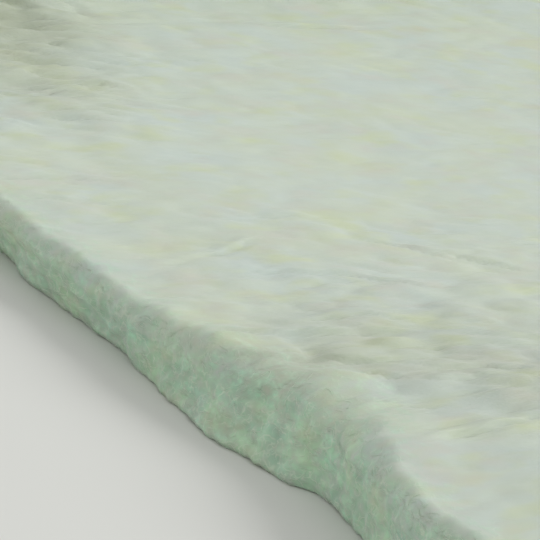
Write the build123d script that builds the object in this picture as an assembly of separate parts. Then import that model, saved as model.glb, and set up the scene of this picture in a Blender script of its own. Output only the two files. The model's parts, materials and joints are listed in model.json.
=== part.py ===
from build123d import *

import os
from math import acos, degrees, pi

# Glass wool insulation roll, partly unrolled: one blanket of wool with its free end laid flat
# on the floor and the rest of it still wound.
# +X runs along the laid wool to its free end, +Y across the blanket and +Z up. The origin is on
# the floor under the middle of the whole. Lengths are in millimetres and angles in degrees.

# The laid wool, at the thickness that it springs back to.
width = 1200.0
laid_thickness = 100.0
laid_length = 2200.0
edge_rounding = 12.0

# The wound part, whose wool is still pressed. It has sagged onto a flat of this length.
wound_thickness = 60.0
whole_turns = 4
eye_radius = 40.0
settled_flat = 50.0

# Wool that has just left the roll has sprung back by no more than this. It rises to its full
# thickness between these two shares of the laid length, counted from the roll.
first_spring_back = 5.0
rise_start_share = 0.53
rise_end_share = 0.68

# The valley between one turn and the next, on both ends of the roll. It starts this far inside
# the nip, where the outer turn comes down on the laid wool, and it stops this far short of the
# top of the eye.
valley_width = 26.0
valley_depth = 22.0
valley_start_angle = 1.0
valley_stop_angle = 25.0

# The roll is half circles on two centres, half a thickness apart in height, so that each turn
# lies on the one before it. The far half faces away from the free end.
far_radius = eye_radius + (whole_turns + 0.5) * wound_thickness
near_radius = far_radius - wound_thickness / 2
roll_height = 2 * far_radius
far_centre = (-settled_flat, far_radius)
near_centre = (0.0, far_radius + wound_thickness / 2)
eye_centre = (-settled_flat / 2, near_centre[1])
pressed_thickness = wound_thickness + first_spring_back
nip_angle = degrees(acos((near_centre[1] - pressed_thickness) / near_radius))

HALF_TURN = 180.0
BOTTOM = -90.0
TOP = 90.0


def far_arc(turn, sweep=HALF_TURN):
    """Outer face of a turn on the far half, going up from the bottom."""
    return CenterArc(far_centre, far_radius - turn * wound_thickness, BOTTOM, -sweep)


def near_arc(turn):
    """Outer face of a turn on the near half, going down from the top."""
    return CenterArc(near_centre, near_radius - turn * wound_thickness, TOP, -HALF_TURN)


def laid_wool():
    """The flat stretch, from under the roll to the free end."""
    start = -settled_flat / 2
    rise_start = (rise_start_share * laid_length, pressed_thickness)
    rise_end = (rise_end_share * laid_length, laid_thickness)
    halfway = ((rise_start[0] + rise_end[0]) / 2, (rise_start[1] + rise_end[1]) / 2)
    with BuildPart() as wool:
        with BuildSketch(Plane.XZ):
            with BuildLine():
                Polyline(
                    rise_start,
                    (start, pressed_thickness),
                    (start, 0),
                    (laid_length, 0),
                    (laid_length, laid_thickness),
                    rise_end,
                )
                TangentArc(rise_start, halfway, tangent=(1, 0))
                TangentArc(rise_end, halfway, tangent=(-1, 0))
            make_face()
        extrude(amount=width / 2, both=True)
        long_edges = wool.faces().filter_by(Axis.Y).edges()
        cut_end = wool.faces().sort_by(Axis.X)[-1]
        outer_edges = (long_edges + cut_end.edges()).filter_by(lambda edge: edge.center().X > start)
        fillet(outer_edges, edge_rounding)
    return wool.part


def wound_wool():
    """The roll as one solid, with the rims of its outer turn rounded."""
    with BuildPart() as roll:
        with BuildSketch(Plane.XZ):
            with BuildLine():
                under = Line((0, 0), (-settled_flat, 0))
                far = far_arc(0)
                Line(far @ 1, (0, roll_height))
                near = near_arc(0)
                Line(near @ 1, under @ 0)
            make_face()
        extrude(amount=width / 2, both=True)
        ends = roll.faces().filter_by(Axis.Y)
        rims = ends.edges().filter_by(lambda edge: edge.center().Z > wound_thickness)
        fillet(rims, edge_rounding)
    return roll.part


def draw_seam():
    """Where one turn meets the next, seen on an end of the roll, from the nip to the eye."""
    into_nip = nip_angle - valley_start_angle
    CenterArc(near_centre, near_radius, BOTTOM + into_nip, -into_nip)
    for turn in range(1, whole_turns):
        level = turn * wound_thickness
        Line((0, level), (-settled_flat, level))
        far_arc(turn)
        Line((-settled_flat, roll_height - level), (0, roll_height - level))
        near_arc(turn)
    level = whole_turns * wound_thickness
    Line((0, level), (-settled_flat, level))
    far_arc(whole_turns, HALF_TURN - valley_stop_angle)


def seam_valley():
    """The cut that shows the seam on one end, a valley with straight sides."""
    lip = 1.0
    half_width = valley_width / 2 + lip
    rise = lip * valley_depth / (valley_width / 2)
    with BuildPart() as valley:
        with BuildLine(Plane.XZ.offset(width / 2)) as seam:
            draw_seam()
        across = Plane(origin=seam.wire() @ 0, x_dir=(0, 1, 0), z_dir=seam.wire() % 0)
        with BuildSketch(across):
            with BuildLine():
                Polyline((-rise, -half_width), (-rise, half_width), (valley_depth, 0), close=True)
            make_face()
        sweep()
    return valley.part


def eye():
    """The hole through the middle of the roll."""
    with BuildPart() as hole:
        with BuildSketch(Plane.XZ):
            with Locations(eye_centre):
                Circle(eye_radius)
        extrude(amount=width, both=True)
    return hole.part


def blanket():
    """The whole blanket as one solid, with the place of its middle along the floor."""
    valley = seam_valley()
    wool = (wound_wool() + laid_wool()).clean()
    wool = wool - valley - valley.mirror(Plane.XZ) - eye()
    middle = (laid_length + far_centre[0] - far_radius) / 2
    return wool.moved(Location((-middle, 0, 0))), middle


def wound_length():
    """Length of wool in the roll, along the middle of its thickness."""
    total = 0.0
    for turn in range(whole_turns):
        across_both_halves = far_radius + near_radius - 2 * turn * wound_thickness
        total += pi * (across_both_halves - wound_thickness) + 2 * settled_flat
    return total


wool_blanket, middle = blanket()
wool_blanket.label = "wool_blanket"
os.makedirs("parts", exist_ok=True)
export_step(wool_blanket, "parts/wool_blanket.step")

print("wool in the roll", round(wound_length()), "and laid", round(laid_length))
print("volume in cubic metres", round(wool_blanket.volume / 1e9, 4))
print("eye at", eye_centre[0] - middle, eye_centre[1], "free end at", laid_length - middle)
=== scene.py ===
# %% [markdown]
# # A glass wool insulation roll, partly unrolled
#
# The real object is one long blanket of felted glass fibre, wound into a roll with nothing round
# it. Here its free end has been rolled out on the floor, and the rest is still wound. The lesson
# follows the wool itself: a flat felt is made first, its faces are creased and its cut edges are
# torn, and only then is it rolled up. Loose fibres are laid on it last.

# %% Load the frame
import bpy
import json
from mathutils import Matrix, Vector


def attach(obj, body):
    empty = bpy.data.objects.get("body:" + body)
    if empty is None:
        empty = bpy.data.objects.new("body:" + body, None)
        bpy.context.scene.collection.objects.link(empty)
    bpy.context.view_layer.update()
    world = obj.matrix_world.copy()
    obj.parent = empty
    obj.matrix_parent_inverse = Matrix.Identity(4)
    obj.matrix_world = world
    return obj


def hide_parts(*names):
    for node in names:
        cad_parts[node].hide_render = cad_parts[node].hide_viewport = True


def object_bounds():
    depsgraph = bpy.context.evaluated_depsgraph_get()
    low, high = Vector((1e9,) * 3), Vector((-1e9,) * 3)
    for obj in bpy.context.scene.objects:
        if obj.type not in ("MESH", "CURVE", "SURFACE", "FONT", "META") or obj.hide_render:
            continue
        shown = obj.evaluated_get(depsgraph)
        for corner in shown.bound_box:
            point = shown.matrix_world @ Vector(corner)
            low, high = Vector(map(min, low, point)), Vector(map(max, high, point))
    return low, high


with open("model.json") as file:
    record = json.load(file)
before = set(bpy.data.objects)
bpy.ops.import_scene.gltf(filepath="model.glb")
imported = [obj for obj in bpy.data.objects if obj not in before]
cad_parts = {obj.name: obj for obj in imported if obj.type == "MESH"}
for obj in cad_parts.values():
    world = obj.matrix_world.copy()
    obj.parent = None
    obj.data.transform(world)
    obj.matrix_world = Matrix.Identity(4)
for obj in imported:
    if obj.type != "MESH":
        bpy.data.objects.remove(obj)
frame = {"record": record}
cad_low, cad_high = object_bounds()
print("solid from", tuple(cad_low), "to", tuple(cad_high))

# %% [markdown]
# ## Sizes
#
# Every size of the blanket is already decided by the solid, so it is read from the frame and
# never typed again. A roll is half circles on two centres, half a thickness apart in height,
# and both centres follow from the solid's box and from the eye of the roll.

# %% Sizes from the frame
import json
import math
from types import SimpleNamespace

import bmesh
import bpy
import numpy as np
from mathutils import Matrix, Vector, noise

MM = 0.001
mounts = {mount["name"]: mount for mount in frame["record"]["mounts"]}
eye_x, _, eye_z = mounts["roll_eye"]["pos_m"]
eye_radius = mounts["roll_eye"]["dims"]["r_mm"] * MM

free_end_x = cad_high.x
half_width = cad_high.y
far_radius = cad_high.z / 2
wound_thickness = 2 * (eye_z - far_radius)
near_radius = far_radius - wound_thickness / 2
sagged_flat = 2 * (eye_x - cad_low.x - far_radius)
near_x = eye_x + sagged_flat / 2
far_x = near_x - sagged_flat
laid_length = free_end_x - near_x
turns = round((far_radius - eye_radius) / wound_thickness - 0.5)
print("turns", turns, "pressed to", round(wound_thickness, 4), "laid", round(laid_length, 4))

# %% [markdown]
# ## The line that the blanket follows
#
# The lower face of the laid wool becomes the outer face of the roll. Its side view is a chain of
# straight stretches and half circles, so a point on it needs only its distance from the free
# end. A felt maker measures that distance too, and every later step uses it.

# %% The path of the outer face
INNER_TIP_SHORT_OF = 25.0


def path_of_the_outer_face():
    """The stretches of the path as rows (start, x, z, heading, bend), and its length."""
    rows = []
    start, x, z, heading = 0.0, free_end_x, 0.0, math.pi

    def go(length, bend):
        nonlocal start, x, z, heading
        rows.append((start, x, z, heading, bend))
        start += length
        if bend == 0:
            x += length * math.cos(heading)
            z += length * math.sin(heading)
            return
        middle_x = x + math.sin(heading) / bend
        middle_z = z - math.cos(heading) / bend
        heading -= length * bend
        x = middle_x - math.sin(heading) / bend
        z = middle_z + math.cos(heading) / bend

    go(free_end_x - far_x, 0)
    for turn in range(turns):
        for radius in (far_radius, near_radius):
            arc_radius = radius - turn * wound_thickness
            go(math.pi * arc_radius, 1 / arc_radius)
            go(sagged_flat, 0)
    last_radius = far_radius - turns * wound_thickness
    go(math.radians(180 - INNER_TIP_SHORT_OF) * last_radius, 1 / last_radius)
    return np.array(rows), start


path_rows, whole_length = path_of_the_outer_face()
roll_starts = path_rows[1, 0]
nip_at = path_rows[4, 0]
print("outer face", round(whole_length, 3), "with the nip at", round(nip_at, 3))

# %% [markdown]
# Any point on the path is then found from the stretch that it lies on.

# %% Places on the path
def on_the_path(along):
    """Place and heading on the outer face, at distances from the free end."""
    after = np.searchsorted(path_rows[:, 0], along, side="right")
    start, x, z, heading, bend = path_rows[np.maximum(after, 1) - 1].T
    run = along - start
    turned = heading - run * bend
    flat = bend == 0
    curved = np.where(flat, 1.0, bend)
    arc_x = x + (np.sin(heading) - np.sin(turned)) / curved
    arc_z = z - (np.cos(heading) - np.cos(turned)) / curved
    straight_x = x + run * np.cos(heading)
    straight_z = z + run * np.sin(heading)
    return np.where(flat, straight_x, arc_x), np.where(flat, straight_z, arc_z), turned


_, _, last_heading = on_the_path(np.array([whole_length]))
middle_length = whole_length - (math.pi - last_heading[0]) * wound_thickness / 2
print("middle of the wool", round(middle_length, 3))

# %% [markdown]
# ## How the wool lies
#
# Wool that has just come off the roll is still pressed, and it springs up over the next few
# hundred millimetres. Its long edge slumps, more in some places than in others. A few numbers at
# a handful of places along the edge say all of that, and a smooth blend joins one to the next.

# %% The form of the near edge
# Place along X, then how far the toe and the shoulder stand out, the thickness, how much lower
# the wool lies at its edge, and the shoulder's reach inwards and downwards, in millimetres.
EDGE_FORM = np.array([
    (-900, 0, 0, 62, 0, 16, 14),
    (-600, 10, 8, 62, 2, 20, 16),
    (-400, -6, -2, 63, 2, 16, 14),
    (-180, 2, 0, 63, 2, 16, 14),
    (60, -20, 4, 63, 6, 18, 16),
    (150, -4, 6, 63, 6, 18, 16),
    (300, -6, 6, 66, 8, 22, 20),
    (370, 5, 6, 71, 10, 26, 22),
    (430, 12, 4, 78, 8, 34, 26),
    (480, 18, 0, 85, 8, 52, 30),
    (530, 8, -10, 91, 10, 72, 34),
    (570, 2, -14, 94, 12, 74, 34),
    (610, -16, -14, 96, 14, 54, 30),
    (660, -8, -4, 96, 15, 28, 24),
    (720, 8, 14, 96, 17, 20, 20),
    (780, 18, 24, 96, 19, 18, 18),
    (850, 20, 24, 97, 19, 18, 18),
    (1000, 8, 10, 99, 12, 20, 20),
    (1130, -8, -10, 100, 8, 30, 24),
    (1300, 0, 0, 100, 4, 24, 22),
]) * MM
TOE_OUT, SHOULDER_OUT, THICKNESS, EDGE_SAG, SHOULDER_IN, SHOULDER_DOWN = range(1, 7)
SAG_REACH = 0.22
FAR_SHOULDER_IN = 24 * MM
FAR_SHOULDER_DOWN = 22 * MM
FAR_WAVER = 9 * MM
LAID_TOE = 5 * MM
WOUND_CORNER_IN = 20 * MM
WOUND_CORNER_DOWN = 11 * MM


def smooth_step(low, high, value):
    """0 below low, 1 above high, and a smooth rise between them."""
    share = np.clip((value - low) / (high - low), 0, 1)
    return share * share * (3 - 2 * share)


def edge_form(x, column):
    """One column of EDGE_FORM at places along X, blended smoothly."""
    places, values = EDGE_FORM[:, 0], EDGE_FORM[:, column]
    after = np.clip(np.searchsorted(places, x), 1, len(places) - 1)
    share = smooth_step(places[after - 1], places[after], x)
    return values[after - 1] * (1 - share) + values[after] * share


print("the edge sags at the free end by", edge_form(np.array([free_end_x]), EDGE_SAG))

# %% [markdown]
# Close to the roll the laid wool is only as thick as the room under the roll, and in the roll
# every turn is pressed to one thickness. A little is left free between the turns, so that each
# shows as a layer of its own.

# %% The thickness of the wool
WOUND_GAP = 0.8 * MM
# The roll's underside is followed up to this share of its radius.
UNDER_ROLL_SHARE = 0.9


def thickness(along):
    """Thickness of the wool at distances from the free end."""
    x, _, _ = on_the_path(along)
    followed = UNDER_ROLL_SHARE * near_radius
    reach = np.clip(x - near_x, 0, followed)
    under_roll = eye_z - np.sqrt(near_radius ** 2 - reach ** 2)
    laid = edge_form(x, THICKNESS)
    laid = np.where(x < near_x + followed, np.minimum(laid, under_roll), laid)
    return np.where(along > laid_length, wound_thickness, laid) - WOUND_GAP


print("thickness near the free end and in the roll", thickness(np.array([0.02, 3.0])))

# %% [markdown]
# ## Places round the section
#
# Cut across, the blanket is a long rectangle with soft corners. A place on it is one number that
# runs from 0 to 8, once round: near toe, near side, near shoulder, top, far shoulder, far side,
# far toe and bottom. The mesh has a number of lanes on each of those eight parts.

# %% Lanes
TOE, SIDE, SHOULDER, TOP, FAR_SHOULDER, FAR_SIDE, FAR_TOE, BOTTOM = range(8)
LANES_ON_PART = np.array([2, 20, 8, 176, 4, 8, 2, 60])

lane_part = np.repeat(np.arange(8), LANES_ON_PART)
lane_on_part = np.concatenate([np.arange(count) for count in LANES_ON_PART])
lane_places = lane_part + lane_on_part / LANES_ON_PART[lane_part]
print("lanes", len(lane_places))

# %% [markdown]
# The outline is worked out for any distance along the blanket and any place round it, so the
# mesh and the loose fibres use the same function. Its measures come first: the heights of both
# faces, and how far the toes and shoulders reach. The blanket's two ends are closed with them
# too: the outline is drawn in, first round a soft corner and then over the whole end.

# %% The measures of the section
END_ROUNDING = 12 * MM
# Round an end's soft corner the lower face comes in by this share of what the upper one does.
END_LOW_SHARE = 0.35
# The laid form turns into the wound one from this far before the roll to this far into it.
PRESSED_BEFORE = 0.15
PRESSED_AFTER = 0.02
FAR_WAVES = (4.3, 1.9)


def drawn_in_near_an_end(along):
    """How far the outline is drawn in round the soft corner of an end."""
    from_end = np.minimum(along, whole_length - along)
    into_corner = np.clip(1 - from_end / END_ROUNDING, 0, 1)
    return END_ROUNDING * (1 - np.sqrt(1 - into_corner ** 2))


def section_measures(along, inset):
    """The measures of the section, drawn in by an inset."""
    full = thickness(along)
    high = full - inset
    low = END_LOW_SHARE * np.minimum(inset, END_ROUNDING) + np.maximum(inset - END_ROUNDING, 0)
    drawn = np.clip((high - low) / full, 0, 1)
    wound = smooth_step(laid_length - PRESSED_BEFORE, laid_length + PRESSED_AFTER, along)

    def reach(laid, pressed):
        return (laid * (1 - wound) + pressed * wound) * drawn

    x, _, _ = on_the_path(along)
    far_waver = np.sin(FAR_WAVES[0] * along + 1) * np.sin(FAR_WAVES[1] * along)
    return SimpleNamespace(
        high=high,
        low=low,
        toe_in=reach(LAID_TOE, WOUND_CORNER_IN),
        toe_up=reach(LAID_TOE, WOUND_CORNER_DOWN),
        near_toe_out=reach(edge_form(x, TOE_OUT), 0),
        near_out=reach(edge_form(x, SHOULDER_OUT), 0),
        near_in=reach(edge_form(x, SHOULDER_IN), WOUND_CORNER_IN),
        near_down=reach(edge_form(x, SHOULDER_DOWN), WOUND_CORNER_DOWN),
        near_sag=reach(edge_form(x, EDGE_SAG), 0),
        far_out=reach(FAR_WAVER * far_waver, 0),
        far_in=reach(FAR_SHOULDER_IN, WOUND_CORNER_IN),
        far_down=reach(FAR_SHOULDER_DOWN, WOUND_CORNER_DOWN),
    )


a_metre_away = section_measures(np.array([1.0]), np.array([0.0]))
print("a metre in, the near shoulder reaches down by", a_metre_away.near_down)

# %% [markdown]
# Each part of the outline is a straight stretch or a quarter of an ellipse, and the far edge is
# worked out like the near one. The outward direction comes with it, because creases and torn
# fibre are pushed along it.

# %% The outline of the section
def section_outline(along, inset, place):
    """Across and up in the flat blanket, then the outward direction, for places round it."""
    part = np.minimum(np.floor(place), BOTTOM)
    share = place - part
    mirrored = (part >= FAR_SHOULDER) & (part <= FAR_TOE)
    on_near = part <= TOP
    share = np.where(mirrored, 1 - share, share)
    part = np.where(mirrored, FAR_TOE - part, part)
    hand = np.where(on_near, -1.0, 1.0)

    size = section_measures(along, inset)
    toe_out = np.where(on_near, size.near_toe_out, size.far_out)
    out = np.where(on_near, size.near_out, size.far_out)
    shoulder_in = np.where(on_near, size.near_in, size.far_in)
    shoulder_down = np.where(on_near, size.near_down, size.far_down)
    edge = half_width - inset
    side_low = size.low + size.toe_up
    side_high = size.high - shoulder_down - np.where(on_near, size.near_sag, 0)
    sine, cosine = np.sin(share * math.pi / 2), np.cos(share * math.pi / 2)
    zero, one = 0 * along, 0 * along + 1

    # Each part is a row: across and up, then the outward direction across and up.
    toe_across = edge + toe_out - size.toe_in * (1 - sine)
    toe = (toe_across, side_low - size.toe_up * cosine, sine, -cosine)
    side_out = toe_out + (out - toe_out) * share
    side = (edge + side_out, side_low + (side_high - side_low) * share, one, zero)
    shoulder_across = edge + out - shoulder_in * (1 - cosine)
    shoulder = (shoulder_across, side_high + shoulder_down * sine, cosine, sine)
    from_near = (2 * edge + size.near_out + size.far_out - size.near_in - size.far_in) * share
    top_height = size.high - size.near_sag * (1 - smooth_step(0, SAG_REACH, from_near))
    top = (edge + size.near_out - size.near_in - from_near, top_height, zero, one)
    from_far = (2 * edge + size.near_toe_out + size.far_out - 2 * size.toe_in) * share
    bottom = (edge + size.far_out - size.toe_in - from_far, size.low, zero, -one)
    picks = [part == TOE, part == SIDE, part == SHOULDER, part == TOP]
    across, height, out_across, out_up = (
        np.select(picks, [toe[n], side[n], shoulder[n], top[n]], bottom[n]) for n in range(4)
    )
    return hand * across, height, hand * out_across, out_up


a_metre_in = np.array([[1.0], [0.0], [TOP + 0.5]])
print("height of the top a metre from the free end", section_outline(*a_metre_in)[1])

# %% [markdown]
# ## The felt's surface
#
# Felted wool is pressed between rollers, so it creases across its length: soft pillows with
# sharp little valleys between them, 10 to 40 mm apart and a hand long. A bump in the material
# could only shade them, and they are deep enough to change the outline, so the points themselves
# are moved. Noise that is folded at zero gives just that form, and stretching it across the
# blanket gives the direction. Wider noise gives the slow swells that the creases lie on.

# %% Creases and swells
# Pitch along the blanket, length across it, and depth of each size of crease, in millimetres,
# with the width of its valley as a share of the pitch.
CREASES = ((30, 85, 3.8, 0.2), (15, 45, 2.2, 0.2), (130, 420, 3.5, 0.07))
CREASE_SLANT = 0.13
# How far the creases wander, their waves along and across, and a seed.
WANDERS = ((20 * MM, 5, 3.2, 3.1), (5 * MM, 16, 16, 8.4))
# The share of a crease's depth that stands up as a pillow. A valley comes and goes by the next
# two, and never fades below the last.
PILLOW_SHARE = 0.35
VALLEY_SHARE = 0.5
VALLEY_CHANGE = 0.9
LEAST_VALLEY = 0.1
# Size, stretch across the blanket and height of each size of swell.
SWELLS = ((230 * MM, 1.0, 3.0 * MM), (80 * MM, 1.2, 5.0 * MM), (36 * MM, 1.3, 2.8 * MM))
# The longest swell is this much higher on the roll, and grows to that over this distance.
ROLL_SWELL = 2
ROLL_SWELL_REACH = 0.5


def creased(along, across, strength):
    """Height of the creases and swells at one place of a broad face."""
    wander = sum(
        reach * noise.noise((along * waves_along, across * waves_across, seed))
        for reach, waves_along, waves_across, seed in WANDERS
    )
    level = along + wander + CREASE_SLANT * across
    creases = 0.0
    for number, (pitch, length, depth, width) in enumerate(CREASES):
        down, sideways = level / pitch / MM, across / length / MM
        folded = abs(noise.noise((down, sideways, 7.0 * number)))
        change = VALLEY_CHANGE * noise.noise((down / 2, sideways, 40.0 + number))
        valley = math.exp(-(folded / width) ** 2) * max(VALLEY_SHARE + change, LEAST_VALLEY)
        creases += depth * MM * (PILLOW_SHARE * folded - valley)
    long_swell, *short_swells = (
        height * noise.noise((along / size, across / size / stretch, 5.0 + size / MM))
        for size, stretch, height in SWELLS
    )
    on_roll = smooth_step(roll_starts, roll_starts + ROLL_SWELL_REACH, along)
    return long_swell * (1 + ROLL_SWELL * on_roll) + strength * (creases + sum(short_swells))


print("creases at one place, in mm", round(creased(1.0, 0.2, 1.0) / MM, 2))

# %% [markdown]
# A blanket isn't creased evenly. It is most creased where it was gripped, folded or leaned on,
# and there it is greyer too. Each such place is one soft spot on the flat blanket. The grey of
# the two spots at X -440 and -250 on the near half is painted shade: it darkens the laid wool
# towards the roll.

# %% Handled places
# X and Y on the flat blanket, the reach along X and across, and how much more the wool is
# creased. Millimetres, except for the last.
HANDLED_AND_SHADED = np.array([
    (480, -400, 150, 330, 0.75),
    (640, -360, 100, 150, 0.55),
    (488, -565, 40, 50, 0.6),
    # These two spots are painted shade as well as handling: their grey darkens the wool towards the
    # roll.
    (-250, -390, 180, 150, 1.0),
    (-440, -290, 130, 130, 1.3),
    (260, -270, 130, 220, 0.2),
    (120, -540, 140, 110, 0.3),
    (650, 300, 200, 250, 0.4),
    (1130, 0, 120, 500, 0.4),
    (-700, 0, 160, 700, 0.5),
    (1080, -350, 120, 160, 0.6),
    (950, 250, 150, 200, 0.5),
    (380, 330, 190, 130, 0.6),
    (900, -60, 110, 200, 0.5),
    (-600, 200, 100, 250, 0.5),
    (-1900, 0, 800, 900, 0.45),
    (-1450, 250, 200, 190, 0.5),
    (-1900, -330, 230, 170, 0.5),
    (-2500, 100, 160, 330, 0.4),
])
LEAST_HANDLED = 0.3


def handled(along, across):
    """How strongly the wool is creased and greyed at places; at two spots the grey is painted
    shade.
    """
    amount = np.full_like(along, LEAST_HANDLED)
    for x, y, reach_x, reach_y, strength in HANDLED_AND_SHADED:
        from_x = ((free_end_x - along) / MM - x) / reach_x
        from_y = (across / MM - y) / reach_y
        amount += strength * np.exp(-(from_x ** 2) - from_y ** 2)
    return amount


print("handled at the fold", handled(np.array([free_end_x - 0.48]), np.array([-0.4])))

# %% [markdown]
# The cut edges are torn fibre in thin level layers, so the widest part of their noise is
# stretched along the blanket. Tufts, lumps and single curls lie on it.

# %% Torn fibre
LAYER_LENGTH = 42 * MM
LAYER_PITCH = 9 * MM
LAYER_DEPTH = 2.0 * MM
TUFT_SIZE = 11 * MM
TUFT_DEPTH = 3.0 * MM
LUMP_SIZE = 50 * MM
LUMP_DEPTH = 5.0 * MM
CURL_SIZE = 14 * MM
CURL_WIDTH = 0.2
CURL_HEIGHT = 1.3 * MM


def torn(along, height, seed):
    """Depth of the torn fibre on a cut face."""
    layers = noise.noise((along / LAYER_LENGTH, height / LAYER_PITCH, seed))
    tufts = noise.noise((along / TUFT_SIZE, height / TUFT_SIZE, seed + 11))
    lumps = noise.noise((along / LUMP_SIZE, height / LUMP_SIZE, seed + 23))
    curl = noise.noise((along / CURL_SIZE, height / CURL_SIZE, seed + 37))
    curls = CURL_HEIGHT * math.exp(-(curl / CURL_WIDTH) ** 2)
    return LAYER_DEPTH * layers + TUFT_DEPTH * tufts + LUMP_DEPTH * lumps + curls


print("torn fibre at one place, in mm", round(torn(1.0, 0.05, 3.0) / MM, 2))

# %% [markdown]
# The photograph shows single creases too. Each is a row: its two ends on the laid wool, and its
# depth.

# %% Single creases
# X and Y of one end, X and Y of the other, and the depth, in millimetres.
SINGLE_CREASES = np.array([
    (-406, -90, -376, 250, 3.2),
    (-302, -390, -308, -270, 2.6),
    (-254, -410, -266, -345, 2.2),
    (-176, -425, -201, -321, 3.4),
    (-223, -350, -189, -255, 3.2),
    (-113, -500, -85, -440, 2.2),
    (36, -590, 38, -425, 1.8),
    (81, -590, 109, -436, 1.8),
    (238, -480, 208, -370, 3.0),
    (135, -400, 172, -260, 2.0),
    (269, -475, 300, -355, 2.2),
    (201, -280, 296, -175, 2.4),
    (233, -245, 325, -110, 2.4),
    (291, -375, 356, -250, 2.6),
    (402, -640, 456, -345, 3.0),
    (470, -510, 508, -265, 2.8),
    (394, -490, 428, -345, 2.2),
    (535, -445, 563, -310, 3.2),
    (527, -515, 556, -460, 2.6),
    (680, -560, 657, -390, 3.8),
    (483, -530, 522, -445, 2.6),
]) * MM
CREASE_HALF_WIDTH = 3.0 * MM
# A crease fades over this share of its length at each end. It wriggles by these amounts, with
# these waves along it and this much more of a start for each crease.
CREASE_FADES = 0.35
WRIGGLES = ((3.5 * MM, 7, 1), (1.4 * MM, 23, 2))
# The pillow behind a crease: half its width, its distance and its height as a share of the depth.
PILLOW_HALF_WIDTH = 8.0 * MM
PILLOW_BEHIND = 2.2 * CREASE_HALF_WIDTH
PILLOW_HEIGHT = 0.55


def single_creases(x, y):
    """Height of the single creases at places on the laid wool, as arrays."""
    height = np.zeros_like(x)
    for number, (x1, y1, x2, y2, depth) in enumerate(SINGLE_CREASES):
        length = math.hypot(x2 - x1, y2 - y1)
        way_x, way_y = (x2 - x1) / length, (y2 - y1) / length
        run = ((x - x1) * way_x + (y - y1) * way_y) / length
        off = (x - x1) * way_y - (y - y1) * way_x
        for reach, waves, start in WRIGGLES:
            off = off + reach * np.sin(run * waves + start * number)
        fading = smooth_step(0, CREASE_FADES, run) * (1 - smooth_step(1 - CREASE_FADES, 1, run))
        valley = np.exp(-(off / CREASE_HALF_WIDTH) ** 2)
        behind = np.exp(-((off + PILLOW_BEHIND) / PILLOW_HALF_WIDTH) ** 2)
        height += depth * fading * (PILLOW_HEIGHT * behind - valley)
    return height


print("single creases", len(SINGLE_CREASES))

# %% [markdown]
# One crease runs right across where the wool was folded, and the wool in front of it lies a
# little lower.

# %% The fold
# X and Y along the fold, how much lower the wool in front of it lies, and how far that reaches.
FOLD = np.array([(0.402, -0.64), (0.478, -0.25), (0.53, 0.30), (0.55, 0.60)])
FOLD_STEP = 3.5 * MM
FOLD_REACH = 0.20
# The fold's line wavers. The step lies between the first two places ahead of it, and the wool
# lies level as far as the third.
FOLD_WAVER = 7 * MM
FOLD_WAVES = 19
FOLD_FROM = -3 * MM
FOLD_TO = 7 * MM
FOLD_LEVEL = 0.03
# The step fades by this share between these two places across.
FOLD_FADING = 0.7
FOLD_FADES_FROM = -0.3
FOLD_FADES_TO = 0.4


def fold_step(x, y):
    """The wool in front of the fold lies lower, and rises again towards the free end."""
    line = np.interp(y, FOLD[:, 1], FOLD[:, 0]) + FOLD_WAVER * np.sin(y * FOLD_WAVES)
    ahead = x - line
    step = smooth_step(FOLD_FROM, FOLD_TO, ahead) * (1 - smooth_step(FOLD_LEVEL, FOLD_REACH, ahead))
    faded = 1 - FOLD_FADING * smooth_step(FOLD_FADES_FROM, FOLD_FADES_TO, y)
    return -FOLD_STEP * step * faded


print("in front of the fold the wool is lower by", FOLD_STEP / MM, "mm")

# %% [markdown]
# ## From the flat felt to its place in the room
#
# Where one turn lies on another the wool is pressed flat, so the creases are kept only where the
# wool is open to the air: on top of the laid wool, and on the outer turn from where it leaves the
# floor to the nip, where it comes down on the laid wool.

# %% Where the creases show
TOP_OPENS = (0.03, 0.16)
TURN_LEAVES_FLOOR = (0.02, 0.25)
TURN_MEETS_NIP = (0.30, 0.06)


def crease_share(along, out_up):
    """How much of the creases a broad face keeps."""
    x, _, _ = on_the_path(along)
    laid_top = smooth_step(near_x + TOP_OPENS[0], near_x + TOP_OPENS[1], x)
    leaving = [roll_starts + distance for distance in TURN_LEAVES_FLOOR]
    meeting = [nip_at - distance for distance in TURN_MEETS_NIP]
    outer_turn = smooth_step(*leaving, along) * (1 - smooth_step(*meeting, along))
    return np.where(out_up > 0, laid_top * (along < laid_length), outer_turn)


print("creases kept at the nip", crease_share(np.array([nip_at]), np.array([-1])))

# %% [markdown]
# The broad faces are pushed out by the creases and the cut edges by the torn fibre, each along
# its own outward direction. Round a corner the two blend. The blanket's two ends are torn as
# well, and there the push is lengthwise.

# %% How far the skin is pushed out
SIDE_SEED = 3.0
END_SEED = 9.0


def pushed_out(along, x, section, strength, lengthwise_share):
    """How far the skin is pushed outwards, and lengthwise on the two ends."""
    across, height, out_across, out_up = section
    on_laid_top = (out_up > 0) & (along < laid_length)
    single = np.where(on_laid_top, single_creases(x, across) + fold_step(x, across), 0)
    share = crease_share(along, out_up)
    rows = zip(*(row.tolist() for row in (along, across, height, share, out_across, strength)))
    broad, rough = [], []
    for s, y, h, kept, sideways, worn_and_shade in rows:
        broad.append(creased(s, y, worn_and_shade) * kept if kept > 0 else 0.0)
        rough.append(torn(s, h, math.copysign(SIDE_SEED, sideways)) if sideways else 0.0)
    push = np.abs(out_up) * (np.array(broad) + single) + np.abs(out_across) * np.array(rough)
    faces = zip(across, height, lengthwise_share)
    ends = [torn(y, h, END_SEED) if facing else 0.0 for y, h, facing in faces]
    return push * (1 - np.abs(lengthwise_share)), lengthwise_share * np.array(ends)


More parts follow.
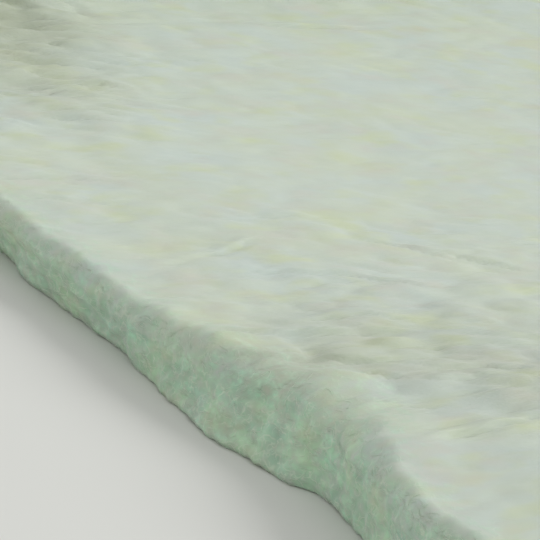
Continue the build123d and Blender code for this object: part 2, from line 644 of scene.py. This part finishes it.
# %% [markdown]
# A cut face is told from a broad one by the way it faces. Two things soften the border between
# them: the broad faces are frayed beside a cut edge too, and the knife drags pale fibre of the
# top down over the edge. That paler upper part of a cut edge is also painted light, lighter as
# if more light fell there.

# %% Where the wool is a cut face
RIM_FRAY = 0.35
RIM_REACH = 30 * MM
# Pale fibre is dragged over a cut edge from this share of its height up, by at most this much.
# The paler upper part is partly painted light.
DRAGGED_AND_PAINTED_LIGHT_FROM = 0.35
DRAGGED_AND_PAINTED_LIGHT_MOST = 0.5


def cut_share(along, height, place, out_across, lengthwise_share):
    """How much of a cut face the wool is."""
    on_face = np.maximum(place % 4 - 3, 0)
    from_rim = np.minimum(on_face, 1 - on_face) * 2 * half_width
    near_rim = RIM_FRAY * np.exp(-((from_rim / RIM_REACH) ** 2))
    # The upper part of a cut edge is paler: dragged fibre, and painted light.
    dragged_and_painted_light = DRAGGED_AND_PAINTED_LIGHT_MOST * smooth_step(DRAGGED_AND_PAINTED_LIGHT_FROM, 1, height / thickness(along))
    side_cut = np.abs(out_across) * (1 - dragged_and_painted_light)
    return np.maximum.reduce((side_cut, np.abs(lengthwise_share), near_rim))


high_on_the_edge = np.array([[1.0], [0.05], [SIDE + 0.8], [1.0], [0.0]])
print("high on the cut edge the wool is a cut face by", cut_share(*high_on_the_edge))

# %% [markdown]
# One function takes places on the flat blanket, pushes them out and winds them up. The turns
# also lie a few millimetres to one side or the other, as in any roll that was wound by hand. It
# returns what the material reads as well: the place on the flat blanket, how much of a cut face
# it is, and how much it was handled.

# %% The skin of the blanket
# The free end wavers by this much, with these waves across, and no further in than this.
END_WAVER = 7 * MM
END_WAVES = (7, 3)
END_WAVER_FADES = 0.15
# The turns lie to the side by this much, from this far before the roll to this far into it, with
# these waves along the blanket. Places round the section differ by a share of that.
SIDEWAYS = 8 * MM
SIDEWAYS_BEFORE = 0.3
SIDEWAYS_AFTER = 0.5
SIDEWAYS_WAVES = (3.7, 1.3)
PLACES_DIFFER = 0.5
PLACES_WAVES = 17


def skin(along, inset, place, lengthwise_share):
    """Places and outward directions in the room, and what the material reads.

    lengthwise_share is -1 where a place faces out of the free end, 1 at the inner end and 0
    between them.
    """
    section = section_outline(along, inset, place)
    across, height, out_across, out_up = section
    end_waver = END_WAVER * np.sin(across * END_WAVES[0] + 1) * np.cos(across * END_WAVES[1])
    end_waver *= 1 - smooth_step(0, END_WAVER_FADES, along)
    x, z, heading = on_the_path(along + end_waver)
    strength = handled(along, across)
    push, end_push = pushed_out(along, x, section, strength, lengthwise_share)
    across = across + out_across * push
    height = height + out_up * push
    height = np.where(along < laid_length, np.maximum(height, 0), height)
    wound = smooth_step(laid_length - SIDEWAYS_BEFORE, laid_length + SIDEWAYS_AFTER, along)
    sideways = np.sin(along * SIDEWAYS_WAVES[0]) * np.cos(along * SIDEWAYS_WAVES[1] + 1)
    sideways = sideways + PLACES_DIFFER * np.sin(along * PLACES_WAVES + place)
    across = across + wound * SIDEWAYS * sideways

    forward = np.stack((np.cos(heading), 0 * heading, np.sin(heading)), 1)
    inward = np.stack((np.sin(heading), 0 * heading, -np.cos(heading)), 1)
    room = np.stack((x, across, z), 1) + inward * height[:, None]
    room += forward * end_push[:, None]
    room[:, 2] = np.maximum(room[:, 2], 0)
    outward = inward * out_up[:, None]
    outward[:, 1] = out_across
    between_ends = 1 - np.abs(lengthwise_share)
    outward = outward * between_ends[:, None] + forward * lengthwise_share[:, None]
    cut = cut_share(along, height, place, out_across, lengthwise_share)
    return room, outward, np.stack((along, across, height), 1), cut, strength


print("a metre in, the middle of the top is at", skin(*a_metre_in, np.zeros(1))[0])

# %% [markdown]
# ## The blanket
#
# A cloth simulation could drape a sheet, but felt this thick hardly drapes, and its creases have
# to lie where the photograph shows them. So a flat grid is bent instead: one direction is the
# blanket's length, the other goes round the section. A ring runs once round the section, and
# the rings are close together where the photograph looks and further apart elsewhere. More
# rings, each smaller than the last, close the two ends.

# %% Rings along the blanket
# The stretch along X that the photograph looks at.
LOOKED_AT = (-0.47, 0.88)
LOOKED_AT_STEP = 3.6 * MM
LAID_STEP = 14 * MM
WOUND_STEP = 8 * MM
END_RINGS = 8
CORNER_STEPS = 6
END_SLIT = 2 * MM


def rings_along():
    """Distances along the blanket, insets and lengthwise shares of the rings."""
    body = [END_ROUNDING]
    while body[-1] < whole_length - END_ROUNDING - LAID_STEP:
        x = free_end_x - body[-1]
        if LOOKED_AT[0] < x < LOOKED_AT[1]:
            step = LOOKED_AT_STEP
        elif body[-1] < laid_length:
            step = LAID_STEP
        else:
            step = WOUND_STEP
        body.append(body[-1] + step)
    body.append(whole_length - END_ROUNDING)
    middle = np.stack((body, np.zeros(len(body)), np.zeros(len(body))), 1)
    return np.concatenate((end_rings(0.0, -1), middle, end_rings(whole_length, 1)[::-1]))


def end_rings(end, way):
    """The rings that close one end, from the innermost one outwards."""
    deepest = (thickness(np.array([end]))[0] + (1 - END_LOW_SHARE) * END_ROUNDING - END_SLIT) / 2
    flat = [(end, inset, way) for inset in np.linspace(deepest, END_ROUNDING, END_RINGS)]
    angles = np.linspace(0, math.pi / 2, CORNER_STEPS)[1:-1]
    corner = [
        (
            end - way * END_ROUNDING * (1 - math.cos(angle)),
            END_ROUNDING * (1 - math.sin(angle)),
            way * math.cos(angle),
        )
        for angle in angles
    ]
    return np.array(flat + corner)


rings = rings_along()
print("rings", len(rings))

# %% [markdown]
# That grid would be far too fine where the wool is plain, hidden inside the roll or out of the
# photograph's view. There several rings or lanes are gathered onto one, and points that meet are
# joined. The mesh stays closed, and its faces are spent on the cut edges and on what shows.

# %% Rings and lanes gathered onto one
# The photograph's view ends at this place across at X = 0, and nearer by this much for each
# metre of X.
SEEN_TO = 0.20
SEEN_SLOPE = 0.8
# Each rule holds for whole blocks of this many rings and lanes, so that no face folds over.
RING_BLOCK = 12
LANE_BLOCK = 4


def gathered(ring, lane):
    """Ring and lane numbers, gathered where fewer are enough."""
    along = rings[ring - ring % RING_BLOCK, 0]
    part = lane_part[lane]
    x = free_end_x - along
    place = lane_places[lane - lane_on_part[lane] % LANE_BLOCK]
    across = (2 * (place - TOP) - 1) * half_width
    wound = along > laid_length
    looked_at = (x > LOOKED_AT[0]) & (x < LOOKED_AT[1])
    seen = looked_at & (across < SEEN_TO - SEEN_SLOPE * x)
    on_outer_turn = wound & (along < nip_at)
    at_free_end = ring < RING_BLOCK
    at_inner_end = ring > len(rings) - 2 * RING_BLOCK
    # The first rule that holds gives how many are gathered onto one.
    lane_rules = [
        (at_free_end & (part >= TOP), np.where(part == TOP, 2, 1)),
        (wound & (part == TOP), 16),
        (wound & ~on_outer_turn & (part == BOTTOM), 6),
        (wound & ((part == SIDE) | (part == SHOULDER)), 2),
        (~wound & (part == BOTTOM), 12),
        (~seen & (part == TOP), 4),
    ]
    ring_rules = [
        (at_free_end | at_inner_end, 1),
        (wound & (part == TOP), 4),
        (wound & (part == BOTTOM), np.where(on_outer_turn, 2, 4)),
        (looked_at & (part > TOP), 3),
    ]
    lane_step = np.select(*zip(*lane_rules), 1)
    ring_step = np.select(*zip(*ring_rules), 1)
    return ring - ring % ring_step, lane - lane_on_part[lane] % lane_step


print("ring 701 and lane 51 go to", gathered(np.array([701]), np.array([51])))

# %% [markdown]
# The grid is bent to a tube: every point goes to its ring and lane on the skin, its two long
# borders meet and are joined, and the slit that is left at each end is filled. What the material
# reads is kept on the points as attributes.

# %% The blanket's mesh
FLAT_PLACE = "flat_place"
CUT = "cut"
WORN_AND_SHADE = "worn_and_shade"
SAME_POINT = 0.01 * MM


def felt_blanket():
    """The whole blanket as one closed mesh."""
    form = bmesh.new()
    flat_place = form.verts.layers.float_vector.new(FLAT_PLACE)
    cut = form.verts.layers.float.new(CUT)
    worn_and_shade = form.verts.layers.float.new(WORN_AND_SHADE)
    count = len(lane_places)
    bmesh.ops.create_grid(form, x_segments=len(rings) - 1, y_segments=count, size=1)
    grid = np.array([vert.co for vert in form.verts])
    ring = np.rint((grid[:, 0] + 1) / 2 * (len(rings) - 1)).astype(int)
    lane = np.rint((grid[:, 1] + 1) / 2 * count).astype(int) % count
    ring, lane = gathered(ring, lane)
    used, place_of = np.unique(ring * count + lane, return_inverse=True)
    along, inset, lengthwise_share = rings[used // count].T
    place = lane_places[used % count]
    room, _, flat, cuts, strengths = skin(along, inset, place, lengthwise_share)
    for vert, number in zip(form.verts, place_of.tolist()):
        vert.co = room[number]
        vert[flat_place] = flat[number]
        vert[cut] = cuts[number]
        vert[worn_and_shade] = strengths[number]
    bmesh.ops.remove_doubles(form, verts=form.verts, dist=SAME_POINT)
    slits = [edge for edge in form.edges if edge.is_boundary]
    filled = bmesh.ops.holes_fill(form, edges=slits, sides=0)
    bmesh.ops.triangulate(form, faces=filled["faces"], ngon_method="BEAUTY")
    bmesh.ops.recalc_face_normals(form, faces=form.faces)
    return form


def shown(mesh, material):
    """A smooth-shaded object of a mesh, at the origin."""
    mesh.shade_smooth()
    mesh.materials.append(material)
    piece = bpy.data.objects.new(mesh.name, mesh)
    bpy.context.scene.collection.objects.link(piece)
    return piece


def finished(form, name, material):
    """The object of a bmesh, which isn't needed after that."""
    mesh = bpy.data.meshes.new(name)
    form.to_mesh(mesh)
    form.free()
    return shown(mesh, material)


# %% [markdown]
# ## Materials
#
# A colour picked from a picture is in sRGB, and a shader wants it linear, so one function turns
# a hex value into what the sockets take. One more adds a node with its settings and links.

# %% Colour and node helpers
def linear(hex_colour):
    """An sRGB hex colour as linear red, green, blue and alpha."""
    channels = [int(hex_colour[at:at + 2], 16) / 255 for at in (1, 3, 5)]
    made = [c / 12.92 if c <= 0.04045 else ((c + 0.055) / 1.055) ** 2.4 for c in channels]
    return (*made, 1.0)


def node(tree, kind, links=(), **settings):
    """A new node. links maps its sockets to values or to other nodes' outputs."""
    made = tree.nodes.new(kind)
    for name, value in settings.items():
        setattr(made, name, value)
    for socket, value in dict(links).items():
        if isinstance(value, bpy.types.NodeSocket):
            tree.links.new(value, made.inputs[socket])
        else:
            made.inputs[socket].default_value = value
    return made


def blank_material(name):
    """A material with an empty tree, and its tree."""
    material = bpy.data.materials.new(name)
    material.use_nodes = True
    material.node_tree.nodes.clear()
    return material, material.node_tree


print("cream as linear colour", linear("#C4CEBB"))

# %% [markdown]
# The wool's pattern is noise at several sizes, read from the place on the flat blanket, so that
# it follows the wool round the roll. Real glass fibre is some six thousandths of a millimetre
# thick and can't show from here, so the fibres are drawn as 2 mm streaks, and the curls of the
# cut edge as lines 8 to 14 mm across.

# %% Patterns in the wool
# Size along, across and through the blanket in millimetres, detail and a seed.
PATTERNS = {
    "clouds": ((75, 130, 90), 3, 0.0),
    "binder": ((42, 75, 30), 2, 9.0),
    "shades": ((38, 70, 50), 3, 21.0),
    "streaks": ((9, 22, 5), 3, 3.0),
    "curls": ((11, 11, 9), 4, 15.0),
    "patches": ((24, 24, 18), 2, 31.0),
    "layers": ((140, 140, 16), 2, 37.0),
    "fibres": ((2, 5, 2), 2, 7.0),
}
# Size and seed of each size of curled line, half a line's width in the noise's own values, and
# the values of another noise between which the lines come and go.
CURLED_LINES = ((14, 41.0), (8, 47.0))
LINE_HALF_WIDTH = 0.035
LINES_COME = (0.4, 0.6)
# How much each finer size of noise adds to the one before it.
FINER_SHARE = 0.55


def grain(tree, place, sizes, detail, seed):
    """Noise whose grain has these sizes."""
    links = {0: place, "Location": (seed,) * 3, "Scale": [1 / (size * MM) for size in sizes]}
    scaled = node(tree, "ShaderNodeMapping", links).outputs[0]
    links = {"Vector": scaled, "Scale": 1.0, "Detail": detail, "Roughness": FINER_SHARE}
    return node(tree, "ShaderNodeTexNoise", links).outputs[0]


def curled_lines(tree, place, size, seed):
    """Thin curled lines, where noise crosses its middle value. They come and go."""
    curls = grain(tree, place, (size,) * 3, 1.5, seed)
    off = node(tree, "ShaderNodeMath", {0: curls, 1: 0.5}, operation="SUBTRACT").outputs[0]
    distance = node(tree, "ShaderNodeMath", {0: off}, operation="ABSOLUTE").outputs[0]
    links = {0: distance, 1: 0.0, 2: LINE_HALF_WIDTH, 3: 1.0, 4: 0.0}
    lines = node(tree, "ShaderNodeMapRange", links).outputs[0]
    coming = grain(tree, place, (size,) * 3, 1, seed + 50)
    links = {0: coming, 1: LINES_COME[0], 2: LINES_COME[1]}
    kept = node(tree, "ShaderNodeMapRange", links).outputs[0]
    return node(tree, "ShaderNodeMath", {0: lines, 1: kept}, operation="MULTIPLY").outputs[0]


def wool_patterns(tree):
    """Everything that the wool's colour and roughness are made from, by name."""
    place = node(tree, "ShaderNodeAttribute", attribute_name=FLAT_PLACE).outputs["Vector"]
    made = {name: grain(tree, place, *row) for name, row in PATTERNS.items()}
    for name in (CUT, WORN_AND_SHADE):
        made[name] = node(tree, "ShaderNodeAttribute", attribute_name=name).outputs["Fac"]
    wide, narrow = (curled_lines(tree, place, *row) for row in CURLED_LINES)
    lines = node(tree, "ShaderNodeMath", {0: wide, 1: narrow}, operation="MAXIMUM")
    made["lines"] = lines.outputs[0]
    return made


print("patterns", len(PATTERNS) + len(CURLED_LINES))

# %% [markdown]
# Glass wool is felted glass fibre with a little binder. The broad faces are pale cream-green,
# with yellowish clouds where there is more binder, and greyer where they were handled. At the two
# spots at X -440 and -250 on the near half that grey is painted shade, which darkens the laid
# wool towards the roll. A cut edge shows the ends of the layers, so it is darker and greener, and
# it is made greener still with painted green bounce light. Pale strands lie over it. Each colour
# is a base with tints laid over it, each where its pattern is strong.

# %% The wool's colours
SHADES_FROM = 0.3
SHADES_TO = 0.7


def tinted(tree, colour, tints):
    """A colour under rows of pattern, its low and high, the tint's share at both, and the tint."""
    for pattern, low, high, share_low, share_high, tint in tints:
        links = {0: pattern, 1: low, 2: high, 3: share_low, 4: share_high}
        share = node(tree, "ShaderNodeMapRange", links).outputs[0]
        links = {0: share, 6: colour, 7: linear(tint)}
        colour = node(tree, "ShaderNodeMix", links, data_type="RGBA").outputs[2]
    return colour


def shaded(tree, colour, pattern, at_low, at_high):
    """A colour made darker and lighter by a pattern."""
    links = {0: pattern, 1: SHADES_FROM, 2: SHADES_TO, 3: at_low, 4: at_high}
    factor = node(tree, "ShaderNodeMapRange", links).outputs[0]
    links = {0: 1.0, 6: colour, 7: factor}
    settings = {"data_type": "RGBA", "blend_type": "MULTIPLY"}
    return node(tree, "ShaderNodeMix", links, **settings).outputs[2]


def face_colour(tree, wool):
    """The broad faces."""
    colour = tinted(tree, linear("#C1CDC4"), [
        (wool["clouds"], 0.35, 0.65, 0, 1, "#C4CEBB"),
        (wool["binder"], 0.52, 0.72, 0, 0.8, "#C4CEAC"),
        (wool["shades"], 0.52, 0.75, 0, 0.5, "#CBC9BC"),
        # Greyer where handled; at the spots at X -440 and -250 this grey is painted shade.
        (wool[WORN_AND_SHADE], 0.65, 2.1, 0, 1, "#A6AD97"),
        (wool[CUT], 0.05, 0.6, 0, 0.1, "#A9B4A6"),
    ])
    colour = shaded(tree, colour, wool["shades"], 1.02, 0.97)
    return shaded(tree, colour, wool["streaks"], 0.995, 1.005)


def cut_colour_and_bounce_light(tree, wool):
    """The cut edges, with painted green bounce light in their greens."""
    # These greens are partly the wool's own and partly painted green bounce light.
    colour = tinted(tree, linear("#8DBCA0"), [
        (wool["curls"], 0.35, 0.65, 0, 1, "#AEDBBF"),
        (wool["binder"], 0.40, 0.68, 0.25, 0.8, "#BBD6AE"),
        (wool["shades"], 0.44, 0.68, 0.15, 0.7, "#B3D0C2"),
        (wool["layers"], 0.35, 0.7, 0, 0.45, "#BDD0B2"),
    ])
    colour = shaded(tree, colour, wool["patches"], 0.86, 1.16)
    return tinted(tree, colour, [(wool["lines"], 0, 1, 0, 0.75, "#D8E4D0")])


# %% [markdown]
# Glass has an IOR of about 1.5, the shader's default, but felted fibre has no gloss at all: light
# is lost between the fibres, so the roughness is 1 and only a little of the reflection is left.
# Some light goes in and comes out a few millimetres away, which softens the small shadows. The
# border between a face and a cut edge is frayed by the curls, and a fine and a coarse bump give
# the fibre its depth.

# %% Felted glass wool
FRAY_ADDED = 0.5
FRAY_RANGE = (0.34, 0.88)
FINE_BUMP = {"Strength": 0.3, "Distance": 1.2 * MM}
COARSE_BUMP = {"Strength": 0.12, "Distance": 2 * MM}
FELTED = {
    "Roughness": 1.0,
    "Specular IOR Level": 0.15,
    "Sheen Weight": 0.1,
    "Sheen Roughness": 0.6,
    "Subsurface Weight": 0.5,
    "Subsurface Radius": (1.0, 1.0, 0.9),
    "Subsurface Scale": 3 * MM,
}


def felted_glass_wool():
    """The blanket's own material."""
    material, tree = blank_material("felted_glass_wool")
    wool = wool_patterns(tree)

    raised = node(tree, "ShaderNodeMath", {0: wool[CUT], 1: FRAY_ADDED}, operation="ADD")
    links = {0: raised.outputs[0], 1: wool["curls"]}
    frayed = node(tree, "ShaderNodeMath", links, operation="MULTIPLY").outputs[0]
    links = {0: frayed, 1: FRAY_RANGE[0], 2: FRAY_RANGE[1]}
    share = node(tree, "ShaderNodeMapRange", links).outputs[0]
    links = {0: share, 6: face_colour(tree, wool), 7: cut_colour_and_bounce_light(tree, wool)}
    colour = node(tree, "ShaderNodeMix", links, data_type="RGBA").outputs[2]

    links = {0: wool[WORN_AND_SHADE], 1: wool["fibres"]}
    soft = node(tree, "ShaderNodeMath", links, operation="MULTIPLY").outputs[0]
    links = {0: wool["curls"], 1: wool["lines"]}
    curly = node(tree, "ShaderNodeMath", links, operation="ADD").outputs[0]
    rough = node(tree, "ShaderNodeMix", {0: share, 2: soft, 3: curly}).outputs[0]
    fine = node(tree, "ShaderNodeBump", {"Height": rough, **FINE_BUMP}).outputs[0]
    links = {"Height": wool["streaks"], "Normal": fine, **COARSE_BUMP}
    coarse = node(tree, "ShaderNodeBump", links).outputs[0]

    links = {"Base Color": colour, "Normal": coarse, **FELTED}
    shader = node(tree, "ShaderNodeBsdfPrincipled", links).outputs[0]
    node(tree, "ShaderNodeOutputMaterial", {"Surface": shader})
    return material


felt = felted_glass_wool()
blanket = finished(felt_blanket(), "felted_blanket", felt)
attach(blanket, "root")
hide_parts("wool_blanket")
blanket.data.calc_loop_triangles()
print("blanket triangles", len(blanket.data.loop_triangles))

# %% [markdown]
# ## Loose fibres
#
# Wool is cut with a long knife, which pulls strands out of the layers. Hair curves could stand
# for them, but those are lost when the object leaves Blender, so each strand is a mesh: a thin
# bent spindle whose two tips are sunk in the felt. There are thousands of them, so a strand has
# only eighteen triangles. One is made from a small grid that is bent to a closed tube, and the
# others repeat its points and faces.

# %% One strand
# The stations along a strand, its fullness at each, and the corners of its section.
SPINDLE_RUN = np.array([0.0, 0.22, 0.5, 0.78, 1.0])
SPINDLE_FULLNESS = (0.0, 0.75, 1.0, 0.75, 0.0)
SPINDLE_CORNERS = ((1.0, -0.7), (0.0, 0.7), (-1.0, -0.7))


def one_spindle():
    """Points as rows of station, aside and above, and faces as rows of point numbers."""
    form = bmesh.new()
    last, corners = len(SPINDLE_RUN) - 1, len(SPINDLE_CORNERS)
    bmesh.ops.create_grid(form, x_segments=last, y_segments=corners, size=1)
    for vert in form.verts:
        station = round((vert.co.x + 1) / 2 * last)
        corner = round((vert.co.y + 1) / 2 * corners) % corners
        aside, above = SPINDLE_CORNERS[corner]
        fullness = SPINDLE_FULLNESS[station]
        vert.co = (station, aside * fullness, above * fullness)
    bmesh.ops.remove_doubles(form, verts=form.verts, dist=SAME_POINT)
    bmesh.ops.recalc_face_normals(form, faces=form.faces)
    form.verts.index_update()
    points = np.array([vert.co for vert in form.verts])
    faces = [[vert.index for vert in face.verts] for face in form.faces]
    form.free()
    return points, faces


spindle_points, spindle_faces = one_spindle()
print("a strand has points", len(spindle_points), "and faces", len(spindle_faces))

# %% [markdown]
# The strands of one stretch of the blanket are one piece, with a shade for each strand as an
# attribute on its points.

# %% A piece of many strands
SHADE = "shade"


def strand_piece(name, material, points, shades):
    """One object of many strands, from a table of each strand's points in the room."""
    firsts = range(0, points.shape[0] * points.shape[1], points.shape[1])
    faces = [[first + at for at in face] for first in firsts for face in spindle_faces]
    mesh = bpy.data.meshes.new(name)
    mesh.from_pydata(points.reshape(-1, 3).tolist(), [], faces)
    shade = mesh.attributes.new(SHADE, "FLOAT", "POINT")
    shade.data.foreach_set("value", np.repeat(shades, points.shape[1]))
    print(name, "strands", len(points), "and faces", len(faces))
    return shown(mesh, material)


# %% [markdown]
# A strand is laid out by distances along the blanket and round its section, and the skin gives
# the places and directions in the room. So strands follow every crease and every turn of the
# roll. The distance round the section is measured once, on the laid wool.

# %% Distances round the section
MEASURED_AT = 0.3
PLACES = np.linspace(0, 8, 640, endpoint=False)
measured = np.stack(section_outline(0 * PLACES + MEASURED_AT, 0 * PLACES, PLACES)[:2])
WALKED = np.insert(np.cumsum(np.linalg.norm(np.diff(measured), axis=0)), 0, 0)
print("once round the section", round(WALKED[-1], 3))


def round_the_section(place, distance):
    """The place that lies a distance further round the section."""
    return np.interp(np.interp(place, PLACES, WALKED) + distance, WALKED, PLACES)


def on_the_skin(along, inset, place, end):
    """Places in the room and outward directions, for a table of places on the skin."""
    rows = [np.ravel(row) for row in np.broadcast_arrays(along, inset, place, float(end))]
    room, outward, *_ = skin(*rows)
    outward /= np.linalg.norm(outward, axis=1, keepdims=True)
    return room.reshape(*along.shape, 3), outward.reshape(*along.shape, 3)


# %% [markdown]
# Along the laid wool single strands are enough. On the roll's ends several fibres cling together
# in bunches, which show from further away.

# %% Many strands
# Length, half width, lift of the middle and depth of the sunk tips, in millimetres, with the
# bend as a share of the length.
STRANDS = {"length": (8, 20), "radius": (0.1, 0.2), "lift": 0.3, "sink": 0.3, "bend": 0.2}
BUNCHES = {"length": (10, 30), "radius": (0.2, 0.42), "lift": 0.8, "sink": 0.4, "bend": 0.3}
ANGLE_SPREAD = 0.6
LIFT_SHAPE = 2.0
LEAST_HEIGHT = 0.1 * MM


def loose_strands(name, material, kind, seed, count, along, place, across_share=0.0, end=0):
    """Strands that lie on a stretch of the skin.

    along and place are (low, high) ranges. across_share is 0 for strands that follow the
    blanket's length and 1 for strands that lie across it. end is -1 for the free end's face,
    where along is the distance in from the face's outline.
    """
    random = np.random.default_rng(seed)
    at_along = random.uniform(*along, (count, 1))
    at_place = random.uniform(*place, (count, 1))
    angle = across_share * math.pi / 2 + random.normal(0, ANGLE_SPREAD, (count, 1))
    long = random.uniform(*kind["length"], (count, 1)) * MM
    radius = random.uniform(*kind["radius"], (count, 1)) * MM
    bend = random.normal(0, kind["bend"], (count, 1))
    lift = random.gamma(LIFT_SHAPE, kind["lift"] / LIFT_SHAPE, (count, 1)) * MM
    sink = kind["sink"] * MM
    shades = random.uniform(0, 1, count)

    def lay(lengthwise, crosswise):
        moved, places = at_along + lengthwise, round_the_section(at_place, crosswise)
        if end:
            return on_the_skin(0 * moved, moved, places, end)
        moved = np.clip(moved, 0, whole_length)
        return on_the_skin(moved, drawn_in_near_an_end(moved), places, 0)

    run = (SPINDLE_RUN - 0.5) * long
    arch = 1 - (2 * SPINDLE_RUN - 1) ** 2
    bent = arch * bend * long
    lengthwise = run * np.cos(angle) - bent * np.sin(angle)
    crosswise = run * np.sin(angle) + bent * np.cos(angle)
    line, outward = lay(lengthwise, crosswise)
    line += outward * (arch * (lift + sink) - sink)[:, :, None]
    aside = np.cross(outward, np.gradient(line, axis=1))
    aside /= np.linalg.norm(aside, axis=2, keepdims=True)
    station = spindle_points[:, 0].astype(int)
    off = aside[:, station] * spindle_points[:, 1:2] + outward[:, station] * spindle_points[:, 2:]
    points = line[:, station] + off * radius[:, :, None]
    points[:, :, 2] = np.maximum(points[:, :, 2], LEAST_HEIGHT)

    piece = strand_piece(name, material, points, shades)
    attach(piece, "root")


# %% [markdown]
# A strand is the same glass as the felt, drawn out from the melt, and it has a faint shine. A
# loose one catches more light than the gaps behind it, so strands are paler than the cut edge,
# and each has a shade of its own.

# %% Strand material and the strands
def drawn_glass_strand():
    """The material of the loose strands."""
    material, tree = blank_material("drawn_glass_strand")
    shade = node(tree, "ShaderNodeAttribute", attribute_name=SHADE).outputs["Fac"]
    colour = tinted(tree, linear("#CBDAC6"), [(shade, 0, 1, 0, 1, "#E6ECDF")])
    links = {"Base Color": colour, "Roughness": 0.8, "Specular IOR Level": 0.3}
    shader = node(tree, "ShaderNodeBsdfPrincipled", links)
    node(tree, "ShaderNodeOutputMaterial", {"Surface": shader.outputs[0]})
    return material


glass = drawn_glass_strand()
into_roll = laid_length + 0.1
laid = (0.0, into_roll)
wound = (into_roll, whole_length)
near_side = (TOE + 0.6, SHOULDER + 0.6)
far_side = (FAR_SHOULDER + 0.5, FAR_TOE + 0.4)
loose_strands("strands_near_edge", glass, STRANDS, 2, 3000, laid, near_side)
loose_strands("strands_far_edge", glass, STRANDS, 3, 3000, laid, far_side)
loose_strands("strands_near_roll_end", glass, BUNCHES, 4, 8000, wound, near_side)
loose_strands("strands_far_roll_end", glass, BUNCHES, 5, 8000, wound, far_side)
end_face = (END_ROUNDING, 0.045)
upper = (TOP + 0.04, TOP + 0.96)
lower = (BOTTOM + 0.04, BOTTOM + 0.96)
loose_strands("strands_free_end_top", glass, STRANDS, 6, 1500, end_face, upper, 1, end=-1)
loose_strands("strands_free_end_low", glass, STRANDS, 8, 1500, end_face, lower, 1, end=-1)
outer_turn = (roll_starts + 0.1, nip_at)
outside = (BOTTOM, BOTTOM + 1)
loose_strands("strands_outer_turn", glass, STRANDS, 7, 4000, outer_turn, outside, 1)

# %% [markdown]
# ## The floor, the light and the camera
#
# The floor is plain and pale. Even light comes from all round, and one wide, even lamp shines
# from beyond the far edge and the free end. The top is bright, the near cut edge is in soft
# shade, and every crease shows.

# %% Floor and light
FLOOR_SIZE = 40.0
SURROUNDINGS = 0.64
LAMP_TOWARDS = Vector((0.42, 0.74, 0.53))
LAMP_SPREAD = 32
LAMP_STRENGTH = 1.75


def plain_floor():
    """A large pale floor that isn't part of the object."""
    material, tree = blank_material("plain_floor_paint")
    links = {"Base Color": linear("#DCDDD8"), "Roughness": 0.9, "Specular IOR Level": 0.2}
    shader = node(tree, "ShaderNodeBsdfPrincipled", links)
    node(tree, "ShaderNodeOutputMaterial", {"Surface": shader.outputs[0]})
    form = bmesh.new()
    bmesh.ops.create_grid(form, x_segments=1, y_segments=1, size=FLOOR_SIZE / 2)
    finished(form, "floor", material)


def wide_lamp(name, towards, spread, strength):
    """Light from one side, as wide and as even as from a large window far away."""
    data = bpy.data.lights.new(name, "SUN")
    data.angle = math.radians(spread)
    data.energy = strength
    lamp = bpy.data.objects.new(name, data)
    lamp.rotation_euler = towards.to_track_quat("Z", "Y").to_euler()
    bpy.context.scene.collection.objects.link(lamp)


def pale_surroundings(strength):
    """Even light from all round, and a pale background for the camera."""
    world = bpy.data.worlds.new("pale_surroundings")
    world.use_nodes = True
    tree = world.node_tree
    tree.nodes.clear()
    seen = node(tree, "ShaderNodeLightPath").outputs["Is Camera Ray"]
    lit = node(tree, "ShaderNodeBackground", {"Color": (1, 1, 1, 1), "Strength": strength})
    behind = node(tree, "ShaderNodeBackground", {"Color": linear("#E9EAE7"), "Strength": 1.0})
    links = {0: seen, 1: lit.outputs[0], 2: behind.outputs[0]}
    both = node(tree, "ShaderNodeMixShader", links)
    node(tree, "ShaderNodeOutputWorld", {"Surface": both.outputs[0]})
    bpy.context.scene.world = world


plain_floor()
pale_surroundings(SURROUNDINGS)
wide_lamp("window_lamp", LAMP_TOWARDS, LAMP_SPREAD, LAMP_STRENGTH)
lamp_height = math.degrees(math.asin(LAMP_TOWARDS.normalized().z))
print("the lamp stands", round(lamp_height), "degrees above the floor")

# %% [markdown]
# The photograph looks down on the near edge from a low angle with a long lens, and its horizon
# isn't level: the creases, which run across the blanket, lie level in the picture.

# %% Camera
VIEW_AZIMUTH = 50.0
VIEW_ELEVATION = 19.5
VIEW_TURN = 13.2
VIEW_DISTANCE = 3.4
VIEW_ANGLE = 8.35
VIEW_TARGET = Vector((0.316, -0.452, 0.080))


def photograph_camera():
    """The camera at the photograph's place."""
    azimuth, elevation = math.radians(VIEW_AZIMUTH), math.radians(VIEW_ELEVATION)
    back = Vector((
        math.sin(azimuth) * math.cos(elevation),
        -math.cos(azimuth) * math.cos(elevation),
        math.sin(elevation),
    ))
    data = bpy.data.cameras.new("photograph_camera")
    data.sensor_fit = "HORIZONTAL"
    data.angle = math.radians(VIEW_ANGLE)
    data.clip_end = 100
    camera = bpy.data.objects.new("photograph_camera", data)
    camera.location = VIEW_TARGET + back * VIEW_DISTANCE
    level = back.to_track_quat("Z", "Y").to_matrix().to_4x4()
    turned = level @ Matrix.Rotation(math.radians(VIEW_TURN), 4, "Z")
    camera.rotation_euler = turned.to_euler()
    bpy.context.scene.collection.objects.link(camera)
    bpy.context.scene.camera = camera
    print("camera at", tuple(camera.location))


photograph_camera()
bpy.context.scene.view_settings.view_transform = "Standard"
